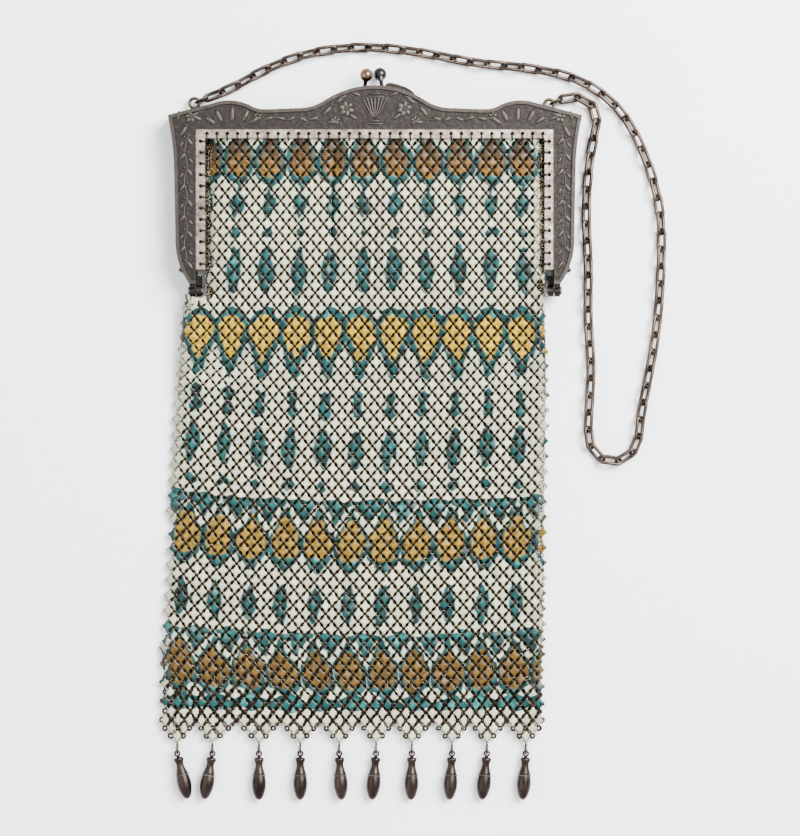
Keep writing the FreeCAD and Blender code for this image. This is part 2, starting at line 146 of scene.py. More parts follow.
def link_object(name, mesh, material):
    """A new object of a finished mesh that already lies in its place."""
    mesh.materials.clear()
    mesh.materials.append(material)
    made = bpy.data.objects.new(name, mesh)
    bpy.context.scene.collection.objects.link(made)
    return made


def mesh_from(name, bm):
    """Closes a bmesh into a mesh with smooth shading."""
    mesh = bpy.data.meshes.new(name)
    for face in bm.faces:
        face.smooth = True
    bm.to_mesh(mesh)
    bm.free()
    return mesh


def curve_mesh(points, resolution, radius=0.0):
    """A mesh of a smooth NURBS line with the given control points, round if it has a radius."""
    data = bpy.data.curves.new("line", "CURVE")
    data.dimensions = "3D"
    data.bevel_depth = radius
    data.bevel_resolution = 1
    data.use_fill_caps = True
    spline = data.splines.new("NURBS")
    spline.points.add(len(points) - 1)
    for place, point in zip(spline.points, points):
        place.co = (*point, 1.0)
    spline.order_u = 3
    spline.use_endpoint_u = True
    spline.resolution_u = resolution
    holder = bpy.data.objects.new("line", data)
    mesh = bpy.data.meshes.new_from_object(holder)
    bpy.data.objects.remove(holder)
    bpy.data.curves.remove(data)
    return mesh


def curve_points(points):
    """Points read from a smooth line."""
    mesh = curve_mesh(points, 24)
    line = [vertex.co.copy() for vertex in mesh.vertices]
    bpy.data.meshes.remove(mesh)
    return line


def even_steps(line, count):
    """count + 1 points at even steps along a line of points."""
    lengths = [0.0]
    for a, b in zip(line, line[1:]):
        lengths.append(lengths[-1] + (b - a).length)
    steps, i = [], 0
    for k in range(count + 1):
        want = lengths[-1] * k / count
        while i < len(line) - 2 and lengths[i + 1] < want:
            i += 1
        share = (want - lengths[i]) / (lengths[i + 1] - lengths[i])
        steps.append(line[i].lerp(line[i + 1], min(1.0, max(0.0, share))))
    return steps


def frame_matrix(origin, across, along, facing):
    """A placing matrix from three axes at right angles."""
    matrix = Matrix((across, along, facing)).transposed().to_4x4()
    matrix.translation = origin
    return matrix


# Materials ------------------------------------------------------------------------------
def new_material(name, colour, metallic, roughness):
    """A material with its shader's fixed values set, and the helper that adds its nodes."""
    material = bpy.data.materials.new(name)
    material.use_nodes = True
    tree = material.node_tree
    shader = tree.nodes["Principled BSDF"]
    shader.inputs["Base Color"].default_value = (*colour, 1)
    shader.inputs["Metallic"].default_value = metallic
    shader.inputs["Roughness"].default_value = roughness
    return material, tree, shader


def add_node(tree, kind, links=(), **values):
    """A node with its settings, and its inputs linked or set by name or number."""
    made = tree.nodes.new(kind)
    for key, value in values.items():
        setattr(made, key, value)
    for socket, value in dict(links).items():
        if isinstance(value, bpy.types.NodeSocket):
            tree.links.new(value, made.inputs[socket])
        else:
            made.inputs[socket].default_value = value
    return made


def calc(tree, operation, a, b=0.0, c=0.0):
    """The output of a Math node."""
    return add_node(tree, "ShaderNodeMath", {0: a, 1: b, 2: c}, operation=operation).outputs[0]


def noise_out(tree, place, scale, detail=3.0, roughness=0.6):
    """The grey output of a Noise Texture on a piece's own coordinates."""
    made = add_node(tree, "ShaderNodeTexNoise", {
        "Vector": place, "Scale": scale, "Detail": detail, "Roughness": roughness})
    return made.outputs["Fac"]


def ramp(tree, factor, stops):
    """The colour of a Color Ramp with stops of (place, colour)."""
    made = add_node(tree, "ShaderNodeValToRGB", {"Fac": factor})
    elements = made.color_ramp.elements
    while len(elements) < len(stops):
        elements.new(0.5)
    for element, (place, colour) in zip(elements, stops):
        element.position = place
        element.color = (*colour, 1) if len(colour) == 3 else colour
    return made.outputs["Color"]


def grey(value):
    """A grey colour."""
    return (value, value, value)


def mix_colour(tree, factor, a, b, blend="MIX"):
    """The colour output of a Mix node."""
    made = add_node(tree, "ShaderNodeMix", data_type="RGBA", blend_type=blend)
    for socket, value in ((made.inputs[0], factor), (made.inputs[6], a), (made.inputs[7], b)):
        if isinstance(value, bpy.types.NodeSocket):
            tree.links.new(value, socket)
        elif isinstance(value, (int, float)):
            socket.default_value = value
        else:
            socket.default_value = (*value, 1)
    return made.outputs[2]


def bump(tree, shader, height, strength, distance):
    """Gives a shader a fine relief."""
    made = add_node(tree, "ShaderNodeBump", {
        "Height": height, "Strength": strength, "Distance": distance})
    tree.links.new(made.outputs["Normal"], shader.inputs["Normal"])


def metal(name, dark, light, roughness, grain, patina=0.5, dents=0.15):
    """An old metal: two tones in cloudy patches, rubbed rough and smooth, finely dented."""
    material, tree, shader = new_material(name, light, 1.0, roughness)
    place = add_node(tree, "ShaderNodeTexCoord").outputs["Object"]
    cloud = noise_out(tree, place, grain * 0.22, 4.0, 0.65)
    fine = noise_out(tree, place, grain, 3.0, 0.6)
    tone = ramp(tree, cloud, ((0.5 - patina * 0.3, dark), (0.5 + patina * 0.3, light)))
    speck = ramp(tree, fine, ((0.25, grey(0.7)), (0.7, grey(1.1))))
    colour = mix_colour(tree, 1.0, tone, speck, "MULTIPLY")
    tree.links.new(colour, shader.inputs["Base Color"])
    rub = calc(tree, "MULTIPLY_ADD", fine, 0.3, roughness - 0.15)
    tree.links.new(rub, shader.inputs["Roughness"])
    bump(tree, shader, fine, dents, 0.0003)
    return material


def embossed_silver(settings):
    """Oxidised silver: dark in the hollows of the relief, rubbed bright on its high spots."""
    material, tree, shader = new_material("Embossed Silver", settings.silver, 1.0, 0.42)
    place = add_node(tree, "ShaderNodeTexCoord").outputs["Object"]
    height = add_node(tree, "ShaderNodeSeparateXYZ", {0: place}).outputs["Z"]
    from_middle = calc(tree, "ABSOLUTE", calc(tree, "SUBTRACT", height, PARTING * MM))
    rise = calc(tree, "DIVIDE", calc(tree, "SUBTRACT", from_middle, FIELD * MM), 0.5 * MM)
    cloud = noise_out(tree, place, 140.0, 4.0, 0.7)
    fine = noise_out(tree, place, 1500.0, 4.0, 0.65)
    wear_and_dome_shade = calc(tree, "ADD", rise, calc(tree, "MULTIPLY_ADD", fine, 0.7, -0.35))
    light = tuple(settings.silver)
    dark = tuple(settings.tarnish)
    tone = ramp(tree, wear_and_dome_shade, ((0.0, dark), (0.3, light), (1.0, tuple(0.85 * c for c in light))))
    tint = ramp(tree, cloud, ((0.3, (0.86, 0.92, 0.86)), (0.5, (1, 1, 1)), (0.7, (1.0, 0.9, 1.0))))
    colour = mix_colour(tree, 1.0, tone, tint, "MULTIPLY")
    tree.links.new(colour, shader.inputs["Base Color"])
    rough = calc(tree, "MULTIPLY_ADD", cloud, 0.35, 0.36)
    tree.links.new(rough, shader.inputs["Roughness"])
    chased = noise_out(tree, place, 700.0, 2.0, 0.5)
    relief = calc(tree, "MULTIPLY_ADD", fine, 0.4, chased)
    bump(tree, shader, relief, 0.35, 0.0004)
    return material


def half_width(tree, along, shapes):
    """A Float Curve that reads a motif's half width in mm from the place along the sheet."""
    made = add_node(tree, "ShaderNodeFloatCurve", {"Value": along})
    curve = made.mapping.curves[0]
    span, _, zero = SHEET_MAP
    for y, half in shapes:
        point = curve.points.new((y + zero) / span, (half + PRINT_SOFT) / 10.0 if half else 0.0)
        point.handle_type = "AUTO_CLAMPED"
    curve.points[0].location = (0.0, 0.0)
    curve.points[-1].location = (1.0, 0.0)
    made.mapping.update()
    return calc(tree, "MULTIPLY_ADD", made.outputs[0], 10.0, -PRINT_SOFT)


def inside(tree, half, distance, soft):
    """1 inside a motif and 0 outside it, across a soft printed edge."""
    depth = calc(tree, "SUBTRACT", half, distance)
    made = add_node(tree, "ShaderNodeMapRange", {
        "Value": depth, "From Min": -soft, "From Max": soft},
        interpolation_type="SMOOTHSTEP")
    return made.outputs[0], depth


def enamel(settings):
    """Pearl enamel on the plates, with the printed pattern, bare metal at their rims and painted
    shade that darkens each plate towards its rim.
    """
    material, tree, shader = new_material("Printed Enamel", settings.cream, 0.0, 0.33)
    shader.inputs["Specular IOR Level"].default_value = 0.2
    shader.inputs["Coat Weight"].default_value = 0.05
    shader.inputs["Coat Roughness"].default_value = 0.15
    place = add_node(tree, "ShaderNodeTexCoord").outputs["Object"]
    flat = add_node(tree, "ShaderNodeUVMap", uv_map="sheet").outputs["UV"]
    shade = add_node(tree, "ShaderNodeAttribute", attribute_name="shade").outputs["Fac"]
    rim = add_node(tree, "ShaderNodeAttribute", attribute_name="rim").outputs["Fac"]
    across, along = add_node(tree, "ShaderNodeSeparateXYZ", {0: flat}).outputs[:2]
    span, zero_across, _ = SHEET_MAP
    wander = noise_out(tree, place, 420.0, 2.0)
    offset = calc(tree, "MULTIPLY_ADD", wander, 1.1, -0.55)
    u = calc(tree, "MULTIPLY_ADD", across, span, -zero_across)
    u = calc(tree, "ADD", u, offset)
    along = calc(tree, "MULTIPLY_ADD", offset, 1.2 / span, along)
    from_column = calc(tree, "PINGPONG", u, COLUMN / 2.0)
    from_middle = calc(tree, "SUBTRACT", COLUMN / 2.0, from_column)
    gold, _ = inside(tree, half_width(tree, along, GOLD_SHAPES), from_column, 0.3)
    teal, depth = inside(tree, half_width(tree, along, TEAL_SHAPES), from_column, 0.35)
    wedge, wedge_depth = inside(tree, half_width(tree, along, WEDGE_SHAPES), from_middle, 0.35)
    blue = calc(tree, "MAXIMUM", teal, wedge)

    patch = noise_out(tree, place, 260.0, 3.0)
    warm = ramp(tree, patch, ((0.3, (1.0, 0.96, 0.88)), (0.7, (0.95, 0.98, 0.97))))
    cream = mix_colour(tree, 1.0, tuple(settings.cream), warm, "MULTIPLY")
    halo = add_node(tree, "ShaderNodeMapRange", {
        "Value": depth, "From Min": -1.5, "From Max": 0.3, "To Max": 0.55},
        interpolation_type="SMOOTHSTEP").outputs[0]
    cream = mix_colour(tree, halo, cream, tuple(settings.pale_teal))
    depth = calc(tree, "MAXIMUM", depth, wedge_depth)
    deep = calc(tree, "MULTIPLY_ADD", calc(tree, "MINIMUM", depth, 2.2), 0.24,
                calc(tree, "MULTIPLY_ADD", patch, 1.5, -0.68))
    teal_tone = ramp(tree, deep, ((0.05, tuple(settings.deep_teal)),
                                  (0.62, tuple(settings.teal)), (0.95, tuple(settings.light_teal))))
    stops = [((y + SHEET_MAP[2]) / span, (r, g, b)) for y, r, g, b in GOLD_TONES]
    gold_tone = ramp(tree, along, stops)
    streak = noise_out(tree, place, 900.0, 2.0)
    gold_wear = ramp(tree, streak, ((0.3, grey(0.35)), (0.66, grey(1.3))))
    gold_tone = mix_colour(tree, 1.0, gold_tone, gold_wear, "MULTIPLY")
    colour = mix_colour(tree, blue, cream, teal_tone)
    colour = mix_colour(tree, gold, colour, gold_tone)
    # shade attribute: each plate's random tone, with painted shade along the panel's edges
    tone = add_node(tree, "ShaderNodeCombineColor", {0: shade, 1: shade, 2: shade}).outputs[0]
    colour = mix_colour(tree, 1.0, colour, tone, "MULTIPLY")
    # painted shade and highlight: each plate darkens towards its rim and is lifted in its middle,
    # as light would fall on its dome
    wear_and_dome_shade = ramp(tree, rim, ((0.0, grey(1.08)), (0.25, grey(0.9)), (1.0, grey(0.5))))
    colour = mix_colour(tree, 1.0, colour, wear_and_dome_shade, "MULTIPLY")

    chip = noise_out(tree, place, 1900.0, 2.0)
    bare = calc(tree, "ADD", rim, calc(tree, "MULTIPLY_ADD", chip, 0.5, -0.25))
    bare = add_node(tree, "ShaderNodeMapRange", {
        "Value": bare, "From Min": 0.46, "From Max": 0.85},
        interpolation_type="SMOOTHSTEP").outputs[0]
    under = add_node(tree, "ShaderNodeMapRange", {"Value": rim, "From Min": 1.1, "From Max": 1.9})
    base = mix_colour(tree, under.outputs[0], tuple(settings.bare_metal),
                      tuple(settings.underside))
    colour = mix_colour(tree, bare, colour, base)
    tree.links.new(colour, shader.inputs["Base Color"])
    tree.links.new(calc(tree, "MULTIPLY", bare, 0.85), shader.inputs["Metallic"])
    rough = calc(tree, "MULTIPLY_ADD", chip, 0.3, 0.2)
    tree.links.new(rough, shader.inputs["Roughness"])
    bump(tree, shader, noise_out(tree, place, 1300.0, 3.0), 0.18, 0.0003)
    return material


def pale_floor(settings):
    """A plain matt table top."""
    material, tree, shader = new_material("Pale Table", settings.floor, 0.0, 0.6)
    place = add_node(tree, "ShaderNodeTexCoord").outputs["Object"]
    speck = noise_out(tree, place, 40.0, 2.0)
    light = tuple(settings.floor)
    tone = ramp(tree, speck, ((0.3, tuple(0.985 * c for c in light)), (0.7, light)))
    tree.links.new(tone, shader.inputs["Base Color"])
    return material


# Sizes and colours that a user would change ----------------------------------------------
class EveningBagMesh(bpy.types.PropertyGroup):
    """Plates, rings, enamel and print of the mesh"""
    half_width: FloatProperty(name="Plate Half Width", description="Centre to side arm's end",
                              default=0.00144, unit="LENGTH")
    half_height: FloatProperty(name="Plate Half Height", description="Centre to upper arm's end",
                               default=0.00178, unit="LENGTH")
    waist: FloatProperty(name="Plate Waist", description="Middle of a plate's hollow side",
                         default=0.00092, unit="LENGTH")
    dome: FloatProperty(name="Plate Dome", description="Rise of the enamel in a plate's middle",
                        default=0.00030, unit="LENGTH")
    ring_radius: FloatProperty(name="Ring Radius", description="Middle radius of a mesh ring",
                               default=0.00050, unit="LENGTH")
    ring_wire: FloatProperty(name="Ring Wire", description="Radius of a mesh ring's wire",
                             default=0.00014, unit="LENGTH")
    fringe_radius: FloatProperty(name="Fringe Radius", description="Middle radius of a hem bead",
                                 default=0.00058, unit="LENGTH")
    fringe_wire: FloatProperty(name="Fringe Wire", description="Radius of a hem bead's wire",
                               default=0.00029, unit="LENGTH")
    cream: FloatVectorProperty(name="Cream", description="Ground colour of the enamel",
                               default=(0.43, 0.42, 0.31), subtype="COLOR", min=0, max=1)
    teal: FloatVectorProperty(name="Teal", description="Middle tone of the print's teal",
                              default=(0.005, 0.062, 0.062), subtype="COLOR", min=0, max=1)
    deep_teal: FloatVectorProperty(name="Deep Teal", description="Outlines of the print",
                                   default=(0.001, 0.012, 0.013), subtype="COLOR", min=0, max=1)
    light_teal: FloatVectorProperty(name="Light Teal", description="Hearts of the diamonds",
                                    default=(0.035, 0.20, 0.18), subtype="COLOR", min=0, max=1)
    pale_teal: FloatVectorProperty(name="Pale Teal", description="Halo beside the teal",
                                   default=(0.24, 0.42, 0.36), subtype="COLOR", min=0, max=1)
    bare_metal: FloatVectorProperty(name="Bare Metal", description="Rubbed rims of the plates",
                                    default=(0.062, 0.053, 0.034), subtype="COLOR", min=0, max=1)
    underside: FloatVectorProperty(name="Underside", description="Unprinted inner side of a plate",
                                   default=(0.13, 0.115, 0.08), subtype="COLOR", min=0, max=1)
    seed: IntProperty(name="Seed", description="Starts the small irregularities", default=7)


class EveningBagFrame(bpy.types.PropertyGroup):
    """Silver and relief of the frame"""
    silver: FloatVectorProperty(name="Silver", description="Rubbed high spots of the frame",
                                default=(0.062, 0.054, 0.048), subtype="COLOR", min=0, max=1)
    tarnish: FloatVectorProperty(name="Tarnish", description="Hollows of the frame's relief",
                                 default=(0.026, 0.023, 0.021), subtype="COLOR", min=0, max=1)
    stem: FloatProperty(name="Stem Radius", description="Embossed vine on the arms",
                        default=0.00018, unit="LENGTH")
    relief: FloatProperty(name="Relief Height", description="Rise of the embossed leaves",
                          default=0.00036, unit="LENGTH")


class EveningBagChain(bpy.types.PropertyGroup):
    """Links of the handle chain"""
    links: IntProperty(name="Links", description="Links of the handle chain", default=71)
    wire: FloatProperty(name="Link Wire", description="Radius of a link's wire",
                        default=0.00048, unit="LENGTH")
    inside: FloatProperty(name="Link Inside", description="Width inside a link",
                          default=0.00106, unit="LENGTH")
    overlap: FloatProperty(name="Link Overlap", description="How far a link reaches its neighbour",
                           default=0.00108, unit="LENGTH")
    roll: FloatProperty(name="Link Roll", description="Turn of a link, left or right, by turns",
                        default=math.radians(37), subtype="ANGLE")
    length: FloatProperty(name="Chain Length", description="Chain between the two jump rings",
                          default=0.311, unit="LENGTH")


class EveningBagStage(bpy.types.PropertyGroup):
    """Table, camera and lights"""
    floor: FloatVectorProperty(name="Table", description="Colour of the table top",
                               default=(0.95, 0.96, 0.97), subtype="COLOR", min=0, max=1)
    lens: FloatProperty(name="Lens", description="Focal length of the camera in mm", default=134.2)
    height: FloatProperty(name="Camera Height", description="Camera above the table",
                          default=0.803, unit="LENGTH")
    key: FloatProperty(name="Key Light", description="Power of the main light in watts",
                       default=29.0)
    fill: FloatProperty(name="Fill Light", description="Power of the light from the left",
                        default=4.0)


# The mesh sheet ---------------------------------------------------------------------------
PITCH = 3.16                   # from one plate to the next in a row
ROW = 1.96                     # from one staggered row to the next
PLATE_ACROSS = 3 * PITCH       # a tooth of the hem is three plates wide
TOOTH_ZERO = 0.9               # middle of the hem across the flat sheet
TIP_ROW = -77.6                # middle of the plates at the teeth's points
ROWS = 79
SPLIT = 27.0                   # the front and back meshes are each split into two panels at this height
MIDDLE_TOOTH = (len(TEETH) - 1) / 2.0
SHEET_ZERO = ((-79.0, -7.3), (-42.6, -5.8), (24.0, -2.6), (70.0, -1.5))  # its middle along X
SPREAD, SPREAD_TOP, SPREAD_LENGTH = 0.085, 70.0, 150.0   # how the sheet widens to the hem
HEM_ZERO, HEM_WIDE = -7.25, 1.0837     # middle and widening of the hem before its teeth shift
RAIL_REACH = 42.4              # how far from the frame's centre line a plate hangs
HINGE_LINE = 34.4              # the sheet spreads to its full width below the hinges
ROLL = 2.4                     # width of the rounded side edges
FOLDS = ((-9.2, 74.0), (1.0, 73.0))   # creases down the upper mesh, as (along X, top end)
FOLD_DEPTH, FOLD_WIDTH = 0.75, 1.0
TUCK = 1.5                     # width over which plates crowd against the rails
TUCK_FRONT, TUCK_BACK = -0.9, 1.4      # how far those plates turn towards the bag's inside
SAG_LEFT, SAG_RIGHT = (3.0, 45.0), (1.3, 46.0)   # lift of the rows at the sides, (rise, reach)
ROLL_TURN = 1.15               # furthest turn of a rolled edge, in radians
ROLL_CLOSE = 0.8               # how far a rolled edge closes on the bag's middle
SPARE = 0.8                    # how far plates pass the rails' reach
HINGE_SPARE = -1.2             # the front's plates keep clear of the hinges
HINGE_ZONE = 4.5               # height of that clear place above the hinge line
EDGE_TOP, EDGE_STEP = 74.0, 1.0       # where the loose rings along the rails end, and their pitch


def tooth_place(number):
    """Middle of a tooth of the hem across the flat sheet, in mm."""
    return TOOTH_ZERO + (number - MIDDLE_TOOTH) * PLATE_ACROSS


def sheet_width(u, v):
    """Where a spot of the flat sheet falls along X, before its edges are rolled, in mm."""
    x = along_table(SHEET_ZERO, v) + u * (1 + SPREAD * (SPREAD_TOP - v) / SPREAD_LENGTH)
    pull = 1 - smooth_step(TIP_ROW + 2.0, TIP_ROW + 26.0, v)
    if pull:
        tooth = (u - TOOTH_ZERO) / PLATE_ACROSS + MIDDLE_TOOTH
        shifts = [(i, tip - HEM_ZERO - tooth_place(i) * HEM_WIDE) for i, tip in enumerate(TEETH)]
        x += pull * along_table(shifts, tooth)
    return x


def sheet_height(v, front):
    """Height of a panel's middle, in mm."""
    table = FRONT_HEIGHT if front else BACK_HEIGHT
    return sum(along_table(table, v + step) for step in (-3, -1, 1, 3)) / 4.0


def rail_reach(v):
    """How far from the frame's centre line the sheet hangs: wider below the rails' feet."""
    return RAIL_REACH + 1.2 * (1 - smooth_step(40.5, 42.5, v))


def sheet_point(u, v, front):
    """Where a spot of the flat sheet lies in the bag, in mm."""
    x = sheet_width(u, v)
    tuck = smooth_step(HINGE_LINE - TUCK, HINGE_LINE + TUCK, v)
    reach = rail_reach(v)
    over = abs(x - FRAME_X) - reach + TUCK
    if tuck and over > 0:
        tucked = FRAME_X + math.copysign(reach - TUCK * math.exp(-over / TUCK), x - FRAME_X)
        x += (tucked - x) * tuck
    loose = 1 - smooth_step(34.0, 44.0, v)
    drape = smooth_step(-76.0, -60.0, v) * (1 - smooth_step(8.0, 30.0, v))
    rise = (SAG_LEFT[0] * (min(0.0, u) / SAG_LEFT[1]) ** 2
            + SAG_RIGHT[0] * (max(0.0, u) / SAG_RIGHT[1]) ** 2)
    y = v + drape * rise
    z = sheet_height(v, front)
    turn_in = TUCK_FRONT if front else TUCK_BACK
    z += turn_in * tuck * smooth_step(reach - 1.8, reach, abs(x - FRAME_X))
    wave = noise.noise(Vector((u / 13.0, v / 17.0, 3.0))) * 0.8
    wave += noise.noise(Vector((u / 5.0, v / 6.0, 9.0))) * 0.3
    if front:
        z += wave * (0.25 + 0.2 * loose) * (1 - 0.5 * smooth_step(34.0, 60.0, v))
        for fold, top in FOLDS:
            held = smooth_step(34.0, 44.0, v) * (1 - smooth_step(top - 4.0, top, v))
            z -= FOLD_DEPTH * held * math.exp(-((x - fold) / FOLD_WIDTH) ** 2)
    if v <= HINGE_LINE:
        middle = (sheet_height(v, True) + sheet_height(v, False)) / 2.0
        for edges, side in ((LEFT_EDGE, -1), (RIGHT_EDGE, 1)):
            edge = along_table(edges, v)
            over = side * (x - edge) + ROLL
            if over > 0:
                turn = min(over / ROLL, ROLL_TURN)
                x = edge + side * ROLL * (math.sin(turn) - 1)
                z += (middle - z) * (1 - math.cos(turn)) * ROLL_CLOSE
    return Vector((x, y, z))


def sheet_places(front, low, high):
    """Every plate of a panel between two heights: its spot on the flat sheet in mm.

    The back lies a little to one side, so that its plates close the front's gaps."""
    spots = []
    for r in range(ROWS):
        v = TIP_ROW + r * ROW
        if not low <= v < high:
            continue
        if r < 2:
            steps = (0,) if r == 0 else (-0.5, 0.5)
            columns = [tooth_place(i) + step * PITCH for i in range(len(TEETH)) for step in steps]
        else:
            first = (-14.5 if r % 2 == 0 else -14.0) + (0.0 if front else 0.25)
            count = 30 if r % 2 == 0 else 29
            columns = [TOOTH_ZERO + (first + i) * PITCH for i in range(count)]
        for u in columns:
            x = sheet_width(u, v)
            if v > HINGE_LINE:
                near_hinge = front and v <= HINGE_LINE + HINGE_ZONE
                spare = HINGE_SPARE if near_hinge else SPARE
                held = abs(x - FRAME_X) < rail_reach(v) + spare
            else:
                left, right = along_table(LEFT_EDGE, v), along_table(RIGHT_EDGE, v)
                spare = 0.6 if front else -1.2
                held = left - spare < x < right + spare
            if held:
                spots.append((u, v))
    return spots


def spot_matrix(u, v, front, tilt):
    """Places a plate at a spot of the sheet, facing out, with a small random tilt."""
    step = 0.6
    origin = sheet_point(u, v, front)
    across = sheet_point(u + step, v, front) - sheet_point(u - step, v, front)
    along = (sheet_point(u, v + step, front) - sheet_point(u, v - step, front)).normalized()
    facing = across.cross(along).normalized()
    if not front:
        facing = -facing
    across = along.cross(facing).normalized()
    turned = frame_matrix(origin * MM, across, along, facing)
    return turned @ tilt.to_matrix().to_4x4()


def plate_template(settings):
    """One four-armed plate: bent-down arms, a skirt and a domed enamel face."""
    bm = bmesh.new()
    rim = bm.verts.layers.float.new("rim")
    bm.verts.layers.float.new("shade")
    flat = bm.loops.layers.uv.new("sheet")
    bmesh.ops.create_circle(bm, cap_ends=True, segments=12, radius=1,
                            matrix=Matrix.Rotation(math.radians(15), 4, "Z"))
    wide, tall, waist = settings.half_width, settings.half_height, settings.waist
    pinch = 0.15 * wide        # half the width of an arm's end
    for vert in bm.verts:
        x, y = vert.co.x, vert.co.y
        if abs(x) > 0.9:
            vert.co = (math.copysign(wide, x), math.copysign(pinch, y), 0)
        elif abs(y) > 0.9:
            vert.co = (math.copysign(pinch, x), math.copysign(tall, y), 0)
        else:
            vert.co = (math.copysign(waist * 0.66, x), math.copysign(waist * 0.82, y), 0)
        bent = (vert.co.length / tall) ** 4
        vert.co.z = -settings.dome * (0.45 + 0.6 * bent)
    layers = [list(bm.verts)]
    top = bm.faces[:]
    for scale, rise in ((1.0, 0.45), (0.72, 0.75), (0.55, 0.35)):
        below = top
        made = bmesh.ops.extrude_face_region(bm, geom=below)["geom"]
        top = [part for part in made if isinstance(part, bmesh.types.BMFace)]
        if len(layers) > 1:    # the first face stays as the underside, later ones would lie inside
            bmesh.ops.delete(bm, geom=below, context="FACES_ONLY")
        ring = [part for part in made if isinstance(part, bmesh.types.BMVert)]
        bmesh.ops.scale(bm, vec=(scale, scale, scale if scale < 1 else 1), verts=ring)
        bmesh.ops.translate(bm, vec=(0, 0, rise * settings.dome), verts=ring)
        layers.append(ring)
    bmesh.ops.recalc_face_normals(bm, faces=bm.faces)
    for ring, value in zip(layers, (2.0, 1.0, 0.25, 0.0)):
        for vert in ring:
            vert[rim] = value
    for face in bm.faces:
        for loop in face.loops:
            loop[flat].uv = loop.vert.co.xy / MM / SHEET_MAP[0]
    return mesh_from("plate", bm)


def ring_template(radius, wire):
    """One plain ring of the mesh, flat in the sheet."""
    bm = bmesh.new()
    made = bmesh.ops.create_circle(
        bm, segments=4, radius=wire,
        matrix=Matrix.Translation((radius, 0, 0)) @ Matrix.Rotation(math.pi / 2, 4, "X"))
    bmesh.ops.spin(bm, geom=made["verts"] + bm.edges[:], cent=(0, 0, 0), axis=(0, 0, 1),
                   angle=math.tau, steps=9, use_merge=True)
    bmesh.ops.recalc_face_normals(bm, faces=bm.faces)
    return mesh_from("ring", bm)


def scatter(name, template, placed, material):
    """One mesh of many copies of a template, each with its matrix, spot and shade."""
    bm = bmesh.new()
    span, zero_across, zero_along = SHEET_MAP
    for matrix, spot, shade in placed:
        piece = template.copy()
        if spot is not None:
            start = Vector(((spot[0] + zero_across) / span, (spot[1] + zero_along) / span))
            for loop in piece.uv_layers["sheet"].data:
                loop.uv = loop.uv + start
            piece.attributes["shade"].data.foreach_set("value", [shade] * len(piece.vertices))
        piece.transform(matrix)
        bm.from_mesh(piece)
        bpy.data.meshes.remove(piece)
    return link_object(name, mesh_from(name, bm), material)


def edge_shade_and_grime(u, v):
    """How far a plate is darkened along a panel's edges, from 0.65 to 1: painted shade where the
    sheet curves down at its sides and beside the rails, together with old dirt.
    """
    x = sheet_width(u, v)
    if v > HINGE_LINE:
        near = RAIL_REACH - abs(x - FRAME_X)
    else:
        near = min(x - along_table(LEFT_EDGE, v), along_table(RIGHT_EDGE, v) - x)
    return 0.65 + 0.35 * smooth_step(-1.0, 6.0, near)


def panel_matrices(spots, front, seed):
    """Plates of a panel with their small irregularities."""
    chance = random.Random(seed)
    placed = []
    for u, v in spots:
        ruffle = 3.0 + 4.0 * (1 - smooth_step(-25.0, 20.0, v))
        tilt = Euler([math.radians(chance.gauss(0, ruffle)), math.radians(chance.gauss(0, ruffle)),
                      math.radians(chance.gauss(0, 2.2))])
        # a random tone for each plate, times the painted shade and dirt along the panel's edges
        shade = min(1.15, max(0.5, chance.gauss(0.94, 0.09))) * edge_shade_and_grime(u, v)
        printed = (u + chance.gauss(0, 0.28), v + chance.gauss(0, 0.28))
        placed.append((spot_matrix(u, v, front, tilt), printed, shade))
    return placed


RING_DROP = 0.0003             # how far the rings lie below the plates, in metres


def panel_rings(spots, front, seed):
    """Rings under the plates' side arms."""
    chance = random.Random(seed)
    placed = []
    under = Matrix.Translation((0, 0, -RING_DROP))
    for u, v in spots:
        tilt = Euler([math.radians(chance.gauss(0, 12)), math.radians(chance.gauss(0, 12)), 0])
        placed.append((spot_matrix(u + PITCH / 2, v, front, tilt) @ under, None, None))
    return placed


def edge_rings(front, seed):
    """Loose rings that crowd between the side rails and the sheet, down to the hinges."""
    chance = random.Random(seed)
    placed = []
    y = HINGE_LINE
    while y < EDGE_TOP:
        for side in (-1, 1):
            for way in (-1, 1):
                x = FRAME_X + side * (RAIL_REACH + 0.1 + 0.35 * way + chance.gauss(0, 0.1))
                z = sheet_height(y, front) + (-0.7 if front else 0.7) + chance.gauss(0, 0.12)
                tilt = Euler([math.radians(chance.gauss(0, 30)), math.radians(chance.gauss(0, 30)),
                              chance.uniform(0, math.pi)])
                spot = Vector((x, y + chance.gauss(0, 0.2), z)) * MM
                placed.append((Matrix.LocRotScale(spot, tilt, None), None, None))
        y += EDGE_STEP
    return placed


def hem_fringe(spots, seed):
    """Larger rings that edge the teeth of the hem."""
    chance = random.Random(seed)
    places = {}
    for u, v in spots:
        if v < TIP_ROW + 5.5 * ROW:
            for across, along in ((-PITCH / 2, 0), (PITCH / 2, 0), (0, -ROW)):
                places[round(u + across, 1), round(v + along, 1)] = (u + across, v + along)
    placed = []
    for u, v in places.values():
        if v > TIP_ROW - 0.5 * ROW:
            tilt = Euler([math.radians(chance.gauss(0, 20)), math.radians(chance.gauss(0, 20)), 0])
            placed.append((spot_matrix(u, v, True, tilt), None, None))
    return placed


SIDE_GAP, SIDE_TOP = 2.2, 35.0         # least gap that the side plates close, and where they end


